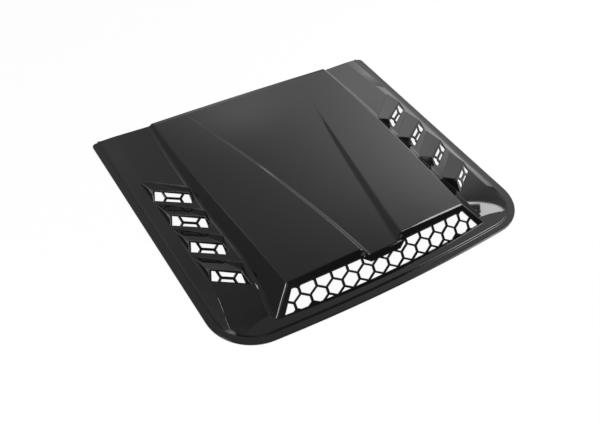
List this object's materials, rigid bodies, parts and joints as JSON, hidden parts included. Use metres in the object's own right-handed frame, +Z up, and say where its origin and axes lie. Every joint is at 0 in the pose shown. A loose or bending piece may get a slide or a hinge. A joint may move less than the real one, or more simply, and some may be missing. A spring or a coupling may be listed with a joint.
{
  "type": "bonnet scoop",
  "caption": "Glossy black moulded bonnet scoop with a raised centre, a meshed front intake, meshed side louvres and a flat bonding flange.",
  "frame": {"origin": "middle of the plan on the plane of the bonding face under the flange", "axes": "+Z up off the bonnet, -Y towards the front of the car (the intake faces -Y), +X across the car"},
  "size_m": [0.8484, 0.7836, 0.0645],
  "materials": {
    "shell": "gloss black"
  },
  "bodies": {
    "root": {"scoop_shell": "shell"}
  },
  "joints": []
}
